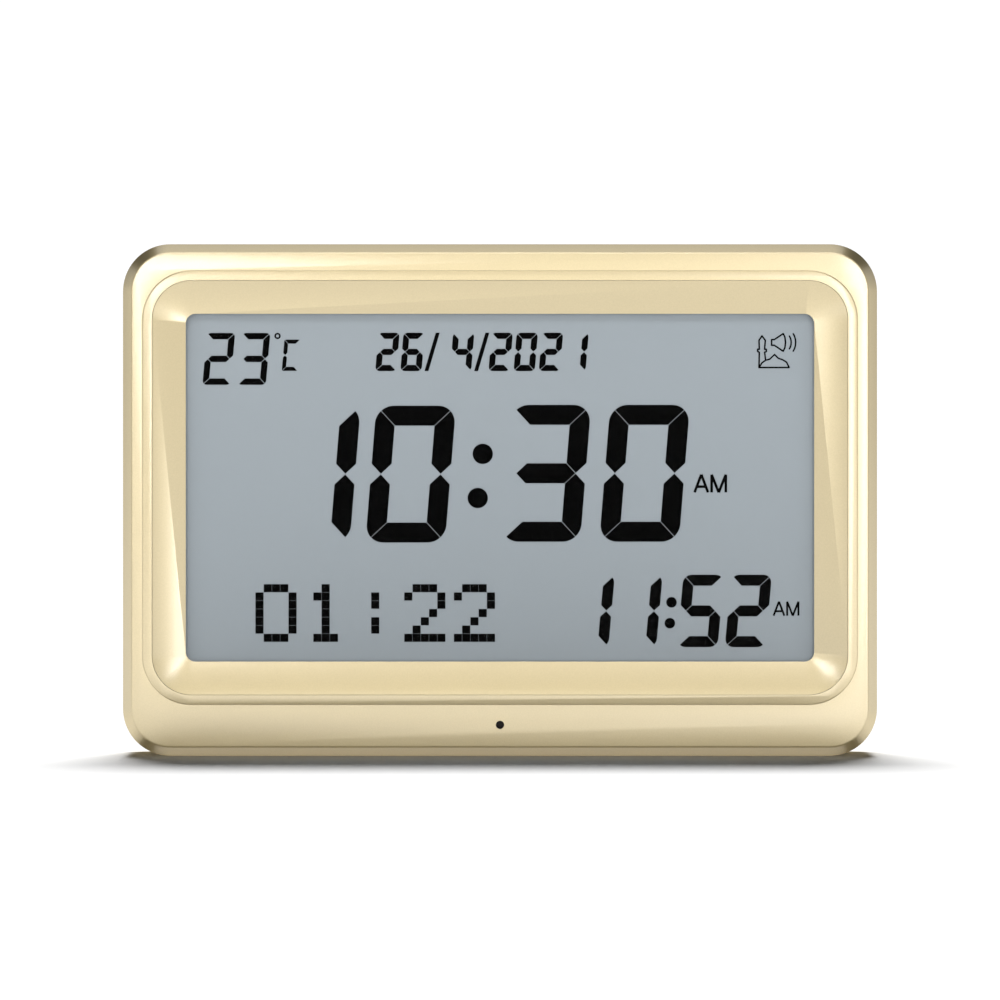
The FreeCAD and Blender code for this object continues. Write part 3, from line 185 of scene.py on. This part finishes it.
def cylinder(name, radius, front, back):
    """A cylinder along Y at the status hole's place."""
    clear_selection()
    bpy.ops.mesh.primitive_cylinder_add(
        vertices=cylinder_sides,
        radius=radius,
        depth=back - front,
        location=(0, (front + back) / 2, status_height),
        rotation=(quarter_turn, 0, 0),
    )
    piece = bpy.context.object
    piece.name = name
    bpy.ops.object.transform_apply(location=True, rotation=True, scale=True)
    return piece


def select_none(element):
    """Leaves nothing selected in the active piece, with edges or faces as what is picked."""
    bpy.ops.object.mode_set(mode="EDIT")
    bpy.ops.mesh.select_mode(type=element)
    bpy.ops.mesh.select_all(action="DESELECT")
    bpy.ops.object.mode_set(mode="OBJECT")


def pick_edges(piece, wanted):
    """Selects, in edit mode, the edges whose two ends together are wanted."""
    select_none("EDGE")
    corners = piece.data.vertices
    for edge in piece.data.edges:
        start, end = (corners[index].co for index in edge.vertices)
        edge.select = wanted(start, end)
    bpy.ops.object.mode_set(mode="EDIT")


def round_corners(piece, radius):
    """Rounds the four edges that run from front to back."""
    pick_edges(piece, lambda start, end: abs(start.y - end.y) > near)
    bpy.ops.mesh.bevel(offset=radius, segments=corner_steps, affect="EDGES")
    bpy.ops.object.mode_set(mode="OBJECT")


def bevel_loop(piece, y, width, steps):
    """Bevels the edges that lie all round the piece at one place along Y."""
    pick_edges(piece, lambda start, end: abs(start.y - y) < near and abs(end.y - y) < near)
    bpy.ops.mesh.bevel(offset=width, segments=steps, affect="EDGES")
    bpy.ops.object.mode_set(mode="OBJECT")


def rounded_block(name, width, height, radius, front, back, z):
    """A flat block with round corners, centred across, between two places along Y."""
    low = Vector((-width / 2, front, z - height / 2))
    high = Vector((width / 2, back, z + height / 2))
    piece = block(name, low, high)
    round_corners(piece, radius)
    return piece


def window_block(name, margin, radius, front, back):
    """A round-cornered block as large as the surround, with a margin on every side."""
    width = surround_width + 2 * margin
    height = surround_height + 2 * margin
    return rounded_block(name, width, height, radius, front, back, window_z)


def combine(piece, tool, operation):
    """Cuts the tool away from the piece, or adds it, and removes the tool."""
    pick(piece)
    modifier = piece.modifiers.new(operation.lower(), "BOOLEAN")
    modifier.operation = operation
    modifier.object = tool
    bpy.ops.object.modifier_apply(modifier=modifier.name)
    bpy.data.objects.remove(tool)


def smooth(piece):
    """Shades the round edges smooth and keeps the creases."""
    pick(piece)
    bpy.ops.object.shade_smooth_by_angle(angle=crease_angle)


def ledge():
    """The step inside the housing that the surround rests on."""
    front = surround_low.y + surround_edge
    margin = surround_gap + (rim_width - surround_gap) / 2
    piece = window_block("shelf", margin, surround_radius + margin, front, front + ledge_thickness)
    through = window_block(
        "through",
        -ledge_width,
        surround_radius - ledge_width,
        rim_front - overshoot,
        housing_high.y,
    )
    combine(piece, through, "DIFFERENCE")
    return piece


def front_shell():
    """The housing's visible shell: a bevelled face, a raised rim and an opening for the surround."""
    width = housing_high.x - housing_low.x
    height = housing_high.z - housing_low.z
    middle = (housing_high.z + housing_low.z) / 2
    face = rim_front + rim_raise
    back = housing_high.y
    shell = rounded_block("front_shell", width, height, corner_radius, face, back, middle)
    bevel_loop(shell, face, face_bevel, 1)
    bevel_loop(shell, face, edge_round, round_steps)

    rim = window_block("rim", rim_width, surround_radius + rim_width, rim_front, face + wall)
    bevel_loop(rim, rim_front, rim_bevel, round_steps)
    combine(shell, rim, "UNION")

    inside = rounded_block(
        "inside",
        width - 2 * wall,
        height - 2 * wall,
        corner_radius - wall,
        face + wall,
        back + overshoot,
        middle,
    )
    combine(shell, inside, "DIFFERENCE")
    seat = window_block(
        "seat", surround_gap, surround_radius + surround_gap, rim_front - overshoot, back
    )
    combine(shell, seat, "DIFFERENCE")
    combine(shell, ledge(), "UNION")
    hole = cylinder("hole", status_hole_radius, face - 2 * wall, face + 2 * wall)
    combine(shell, hole, "DIFFERENCE")
    smooth(shell)
    return shell


def slope_pit():
    """A block whose back tapers to the window, as deep as the surround's slope."""
    front = surround_low.y
    pit = window_block("pit", 0, surround_radius, front - overshoot, front)
    select_none("FACE")
    for face in pit.data.polygons:
        face.select = face.normal.y > facing_back
    bpy.ops.object.mode_set(mode="EDIT")
    bpy.ops.mesh.inset(thickness=slope_width, depth=0)
    bpy.ops.transform.translate(value=(0, rim_front + slope_recess - front, 0))
    bpy.ops.object.mode_set(mode="OBJECT")
    return pit


def sloping_surround():
    """The insert that slopes from the rim down to the window."""
    front, back = surround_low.y, surround_high.y
    piece = window_block("sloping_surround", 0, surround_radius, front, front + surround_edge)
    step = ledge_width + surround_gap
    inner = window_block("inner", -step, surround_radius - step, front + fine_round, back)
    combine(piece, inner, "UNION")
    combine(piece, slope_pit(), "DIFFERENCE")
    window = window_block(
        "window", -slope_width, window_radius, front - overshoot, back + overshoot
    )
    combine(piece, window, "DIFFERENCE")
    smooth(piece)
    return piece


def status_window():
    """The small dark light pipe, with a domed front."""
    low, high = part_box("status_lens")
    piece = cylinder("status_window", status_hole_radius - near, low.y, high.y)
    bevel_loop(piece, low.y, status_dome, dome_steps)
    smooth(piece)
    return piece


def shader_of(finish):
    """The node that holds a finish's main settings."""
    return finish.node_tree.nodes["Principled BSDF"]


def clear_finish(name, colour, roughness, specular=0.5, alpha=1.0, coat=0.0):
    """A smooth see-through or polished finish with no grain."""
    finish = bpy.data.materials.new(name)
    finish.use_nodes = True
    shader = shader_of(finish)
    shader.inputs["Base Color"].default_value = (*colour, 1)
    shader.inputs["Roughness"].default_value = roughness
    shader.inputs["Specular IOR Level"].default_value = specular
    shader.inputs["Alpha"].default_value = alpha
    shader.inputs["Coat Weight"].default_value = coat
    return finish


def grained(finish, pattern, colour, contrast, height, bump_strength=0.3):
    """Adds a pattern to a finish: a slight change of colour and a slight bump."""
    tree = finish.node_tree
    shader = shader_of(finish)
    shades = tree.nodes.new("ShaderNodeValToRGB")
    low, high = shades.color_ramp.elements
    low.position, high.position = shade_low, shade_high
    low.color = (*(part * (1 - contrast) for part in colour), 1)
    high.color = (*(part * (1 + contrast) for part in colour), 1)
    bump = tree.nodes.new("ShaderNodeBump")
    bump.inputs["Strength"].default_value = bump_strength
    bump.inputs["Distance"].default_value = height
    tree.links.new(pattern, shades.inputs["Fac"])
    tree.links.new(shades.outputs["Color"], shader.inputs["Base Color"])
    tree.links.new(pattern, bump.inputs["Height"])
    tree.links.new(bump.outputs["Normal"], shader.inputs["Normal"])
    return finish


def object_place(finish, stretch=(1, 1, 1)):
    """The place on the object, stretched along each axis."""
    tree = finish.node_tree
    place = tree.nodes.new("ShaderNodeTexCoord")
    mapping = tree.nodes.new("ShaderNodeMapping")
    mapping.inputs["Scale"].default_value = stretch
    tree.links.new(place.outputs["Object"], mapping.inputs["Vector"])
    return mapping.outputs["Vector"]


def noise_pattern(finish, scale, detail=3, stretch=(1, 1, 1)):
    """Cloudy grain at a scale in cells per metre."""
    tree = finish.node_tree
    noise = tree.nodes.new("ShaderNodeTexNoise")
    noise.inputs["Scale"].default_value = scale
    noise.inputs["Detail"].default_value = detail
    tree.links.new(object_place(finish, stretch), noise.inputs["Vector"])
    return noise.outputs["Fac"]


def moulded(name, colour, roughness, scale=1500, contrast=0.05, height=0.01 * MM):
    """Moulded plastic, rubber or paper with a fine grain."""
    finish = clear_finish(name, colour, roughness)
    return grained(finish, noise_pattern(finish, scale), colour, contrast, height)


def metal(name, colour, roughness, stretch=(1, 1, 1), scale=900):
    """Bare or plated metal with fine drawn lines."""
    finish = clear_finish(name, colour, roughness)
    shader_of(finish).inputs["Metallic"].default_value = 1.0
    lines = noise_pattern(finish, scale, drawn_detail, stretch)
    return grained(finish, lines, colour, drawn_contrast, drawn_height)


def champagne_paint(name, roughness, coat, coat_roughness):
    """Champagne metallic paint: fine flakes under a clear coat."""
    paint = clear_finish(name, champagne, roughness, coat=coat)
    shader = shader_of(paint)
    shader.inputs["Metallic"].default_value = 1.0
    shader.inputs["Coat Roughness"].default_value = coat_roughness
    shader.inputs["Coat IOR"].default_value = coat_ior
    flakes = noise_pattern(paint, flake_scale)
    return grained(paint, flakes, champagne, flake_contrast, flake_height)


def board_mask():
    """Green solder mask, with tracks as slightly lighter lines."""
    finish = clear_finish("board_mask", board_green, roughness=0.35, coat=0.3)
    tree = finish.node_tree
    tracks = tree.nodes.new("ShaderNodeTexBrick")
    tracks.inputs["Scale"].default_value = track_scale
    tracks.inputs["Mortar Size"].default_value = track_width
    tracks.inputs["Color1"].default_value = (0, 0, 0, 1)
    tracks.inputs["Color2"].default_value = (0.1, 0.1, 0.1, 1)
    tracks.inputs["Mortar"].default_value = (1, 1, 1, 1)
    turned = tree.nodes.new("ShaderNodeMapping")
    turned.inputs["Rotation"].default_value = (quarter_turn, 0, 0)
    tree.links.new(object_place(finish), turned.inputs["Vector"])
    tree.links.new(turned.outputs["Vector"], tracks.inputs["Vector"])
    return grained(finish, tracks.outputs["Color"], board_green, track_contrast, track_height)


def cell_sleeve(name, points_right, middle):
    """A cell's plain sleeve: a pale band at the positive end, grey-green along the rest."""
    sleeve = clear_finish(name, sleeve_green, roughness=0.3, coat=0.3)
    tree = sleeve.node_tree
    place = tree.nodes.new("ShaderNodeTexCoord")
    mapping = tree.nodes.new("ShaderNodeMapping")
    way = 1 if points_right else -1
    mapping.inputs["Location"].default_value = (0.5 - way * middle / sleeve_span, 0, 0)
    mapping.inputs["Scale"].default_value = (way / sleeve_span, 1, 1)
    axes = tree.nodes.new("ShaderNodeSeparateXYZ")
    bands = tree.nodes.new("ShaderNodeValToRGB")
    bands.color_ramp.interpolation = "CONSTANT"
    green, pale = bands.color_ramp.elements
    green.color = (*sleeve_green, 1)
    pale.position = 0.5 + pale_start / sleeve_span
    pale.color = (*sleeve_pale, 1)
    nub = bands.color_ramp.elements.new(0.5 + nub_start / sleeve_span)
    nub.color = (*nub_grey, 1)
    tree.links.new(place.outputs["Object"], mapping.inputs["Vector"])
    tree.links.new(mapping.outputs["Vector"], axes.inputs["Vector"])
    tree.links.new(axes.outputs["X"], bands.inputs["Fac"])
    tree.links.new(bands.outputs["Color"], shader_of(sleeve).inputs["Base Color"])
    return sleeve


def paint_piece(piece, finish):
    """Gives a piece one finish and no other."""
    piece.data.materials.clear()
    piece.data.materials.append(finish)


def paint_nodes(names, finish):
    """Gives several solids one finish."""
    for name in names:
        paint_piece(nodes[name], finish)


def dress_case():
    """The painted back, and the keys with their plungers."""
    back_paint = champagne_paint("champagne_back", roughness=0.5, coat=0.3, coat_roughness=0.35)
    key_paint = champagne_paint("champagne_keys", roughness=0.35, coat=1.0, coat_roughness=0.15)
    white_plastic = moulded("white_plastic", plastic_white, roughness=0.45, contrast=0.03)
    key_names = ("menu", "set", "plus", "minus", "call", "light")
    paint_nodes(["rear_cover", "battery_door", "stand_leg"], back_paint)
    paint_nodes([f"{name}_key" for name in key_names], key_paint)
    paint_nodes([f"{name}_plunger" for name in key_names], white_plastic)
    paint_nodes(["lcd_holder"], white_plastic)


def dress_display():
    """The clear window and the display's layers behind it."""
    window = clear_finish("clear_window", window_tint, roughness=0.03, specular=0.2, alpha=0.05)
    face = moulded(
        "display_face", display_grey, roughness=0.6, scale=5000, contrast=0.012, height=0.002 * MM
    )
    marks = clear_finish("display_marks", mark_black, roughness=0.7, specular=0.0)
    foam = moulded(
        "black_foam", foam_black, roughness=0.9, scale=1200, contrast=0.4, height=0.1 * MM
    )
    glass = clear_finish("display_glass", glass_tint, roughness=0.05, alpha=0.35)
    reflector = metal("reflector_film", reflector_grey, roughness=0.4, scale=3000)
    rubber = moulded("contact_rubber", rubber_grey, roughness=0.7, scale=4000, contrast=0.3)
    paint_nodes(["display_lens"], window)
    paint_nodes(["lcd_front_film"], face)
    paint_nodes(["lcd_segments"], marks)
    paint_nodes(["lcd_gasket"], foam)
    paint_nodes(["lcd_front_glass", "lcd_rear_glass"], glass)
    paint_nodes(["lcd_rear_film"], reflector)
    paint_nodes(["lcd_connectors"], rubber)


def dress_boards(steel, drawn_steel):
    """The two boards and what is soldered or screwed to them."""
    resin = moulded("black_resin", resin_black, roughness=0.35, scale=2200, contrast=0.2)
    sleeve = moulded("capacitor_sleeve", capacitor_blue, roughness=0.3, contrast=0.1)
    red_lamp = clear_finish("red_lamp", lamp_red, roughness=0.15, alpha=0.8)
    paint_nodes(["main_board", "key_board"], board_mask())
    paint_nodes(["clock_chip", "sound_chips", "key_header", "key_switches", "thermistor"], resin)
    paint_nodes(["crystal_can"], drawn_steel)
    paint_nodes(["board_screws", "key_board_screws"], steel)
    paint_nodes(["board_capacitors"], sleeve)
    paint_nodes(["status_led"], red_lamp)


def dress_speaker(steel):
    """The loudspeaker with its paper cone."""
    paper = moulded(
        "cone_paper", cone_black, roughness=0.85, scale=900, contrast=0.3, height=0.05 * MM
    )
    paint_nodes(["speaker_frame", "speaker_magnet", "speaker_screws"], steel)
    paint_nodes(["speaker_cone"], paper)


def dress_battery_bay(steel, drawn_steel):
    """The contacts, and three cells of which the middle one points the other way."""
    paint_nodes(["battery_contacts"], steel)
    paint_nodes(["battery_springs"], drawn_steel)
    for index in (1, 2, 3):
        name = f"battery_cell_{index}"
        low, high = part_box(name)
        sleeve = cell_sleeve(f"cell_sleeve_{index}", index != 2, (low.x + high.x) / 2)
        paint_nodes([name], sleeve)


def dress_fittings(steel, drawn_steel):
    """The case's screws, the stand's pin and the leads."""
    insulation = moulded(
        "red_insulation", insulation_red, roughness=0.45, scale=3000, contrast=0.08
    )
    paint_nodes(["case_screws"], steel)
    paint_nodes(["stand_pin"], drawn_steel)
    paint_nodes(["battery_leads", "speaker_leads"], insulation)


def floor():
    """A wide white floor under the clock."""
    clear_selection()
    bpy.ops.mesh.primitive_plane_add(size=floor_size, location=(0, 0, 0))
    piece = bpy.context.object
    piece.name = "floor"
    paint_piece(piece, clear_finish("white_floor", floor_white, roughness=0.9, specular=0.0))
    return piece


def add_lamp(kind, name, place, target, energy):
    """A lamp that points from its place at a target."""
    clear_selection()
    bpy.ops.object.light_add(type=kind, location=place)
    lamp = bpy.context.object
    lamp.name = name
    lamp.data.energy = energy
    lamp.rotation_euler = (Vector(target) - Vector(place)).to_track_quat("-Z", "Y").to_euler()
    return lamp


def add_panel(name, place, width, height, power):
    """A soft rectangular lamp that points at the middle of the window."""
    lamp = add_lamp("AREA", name, place, (0, 0, window_z), power)
    lamp.data.shape = "RECTANGLE"
    lamp.data.size = width
    lamp.data.size_y = height
    return lamp


def share_light(lamp, piece, state):
    """Lets a lamp light only this piece, or everything but this piece, which then blocks no light."""
    group = bpy.data.collections.new(f"{lamp.name}_receivers")
    group.objects.link(piece)
    lamp.light_linking.receiver_collection = group
    if state == "EXCLUDE":
        lamp.light_linking.blocker_collection = group
    group.collection_objects[0].light_linking.link_state = state


def studio(ground):
    """Soft panels all round the clock, and a sun from behind for the floor's shadow alone."""
    panels = (
        add_panel("front_panel", (0, -2.3, 0.4), width=1.2, height=1.7, power=4.2),
        add_panel("front_left_panel", (-1.1, -2.1, 0.4), width=1.0, height=1.7, power=2.5),
        add_panel("front_right_panel", (1.1, -2.1, 0.4), width=1.0, height=1.7, power=2.3),
        add_panel("left_sheen", (-0.42, -1.5, 0.42), width=0.3, height=0.3, power=1.5),
        add_panel("corner_sheen", (-0.34, -1.5, 0.3), width=0.25, height=0.25, power=0.5),
        add_panel("right_sheen", (0.4, -1.5, 0.27), width=0.15, height=0.6, power=2.3),
        add_panel("left_panel", (-1.3, -0.3, 0.4), width=1.0, height=1.0, power=2.1),
        add_panel("right_panel", (1.3, -0.3, 0.4), width=1.0, height=1.0, power=2.0),
        add_panel("top_panel", (0, -0.2, 1.4), width=1.2, height=0.8, power=3.0),
        add_panel("high_panel", (0, -1.2, 1.3), width=1.2, height=0.5, power=7.8),
        add_panel("low_panel", (0, -0.2, -0.9), width=1.0, height=0.5, power=1.0),
        add_panel("back_panel", (0.3, 1.8, 0.7), width=1.4, height=1.0, power=5.0),
    )
    for panel in panels:
        share_light(panel, ground, "EXCLUDE")
    sun = add_lamp("SUN", "floor_light", sun_place, (0, 0, 0), sun_strength)
    sun.data.angle = sun_angle
    share_light(sun, ground, "INCLUDE")


def white_surroundings():
    """White wherever the camera looks past the floor, and a much weaker white as light."""
    world = bpy.data.worlds.new("white_surroundings")
    world.use_nodes = True
    bpy.context.scene.world = world
    tree = world.node_tree
    background = tree.nodes["Background"]
    background.inputs["Color"].default_value = (1, 1, 1, 1)
    path = tree.nodes.new("ShaderNodeLightPath")
    strength = tree.nodes.new("ShaderNodeMix")
    strength.inputs["A"].default_value = room_strength
    strength.inputs["B"].default_value = backdrop_strength
    tree.links.new(path.outputs["Is Camera Ray"], strength.inputs["Factor"])
    tree.links.new(strength.outputs["Result"], background.inputs["Strength"])


def camera():
    """Looks straight at the front, from the height of the clock's middle."""
    clear_selection()
    height = (cad_bounds[0][2] + cad_bounds[1][2]) / 2
    bpy.ops.object.camera_add(
        location=(0, rim_front - camera_distance, height), rotation=(quarter_turn, 0, 0)
    )
    eye = bpy.context.object
    eye.data.sensor_width = sensor_width
    eye.data.lens = sensor_width * camera_distance / picture_width
    bpy.context.scene.camera = eye


front_paint = champagne_paint("champagne_paint", roughness=0.42, coat=1.0, coat_roughness=0.22)

shell = front_shell()
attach(shell, "case")
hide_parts("front_housing")
paint_piece(shell, front_paint)

surround = sloping_surround()
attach(surround, "case")
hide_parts("screen_surround")
paint_piece(surround, front_paint)

status = status_window()
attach(status, "case")
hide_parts("status_lens")
paint_piece(status, clear_finish("smoked_window", smoked_black, roughness=0.3, specular=0.15))

plated_steel = metal("plated_steel", plated_grey, roughness=0.28)
pin_steel = metal("drawn_steel", drawn_grey, roughness=0.32, stretch=(0.05, 1, 1))
dress_case()
dress_display()
dress_boards(plated_steel, pin_steel)
dress_speaker(plated_steel)
dress_battery_bay(plated_steel, pin_steel)
dress_fittings(plated_steel, pin_steel)

studio(floor())
white_surroundings()
camera()
bpy.context.scene.view_settings.view_transform = "Standard"
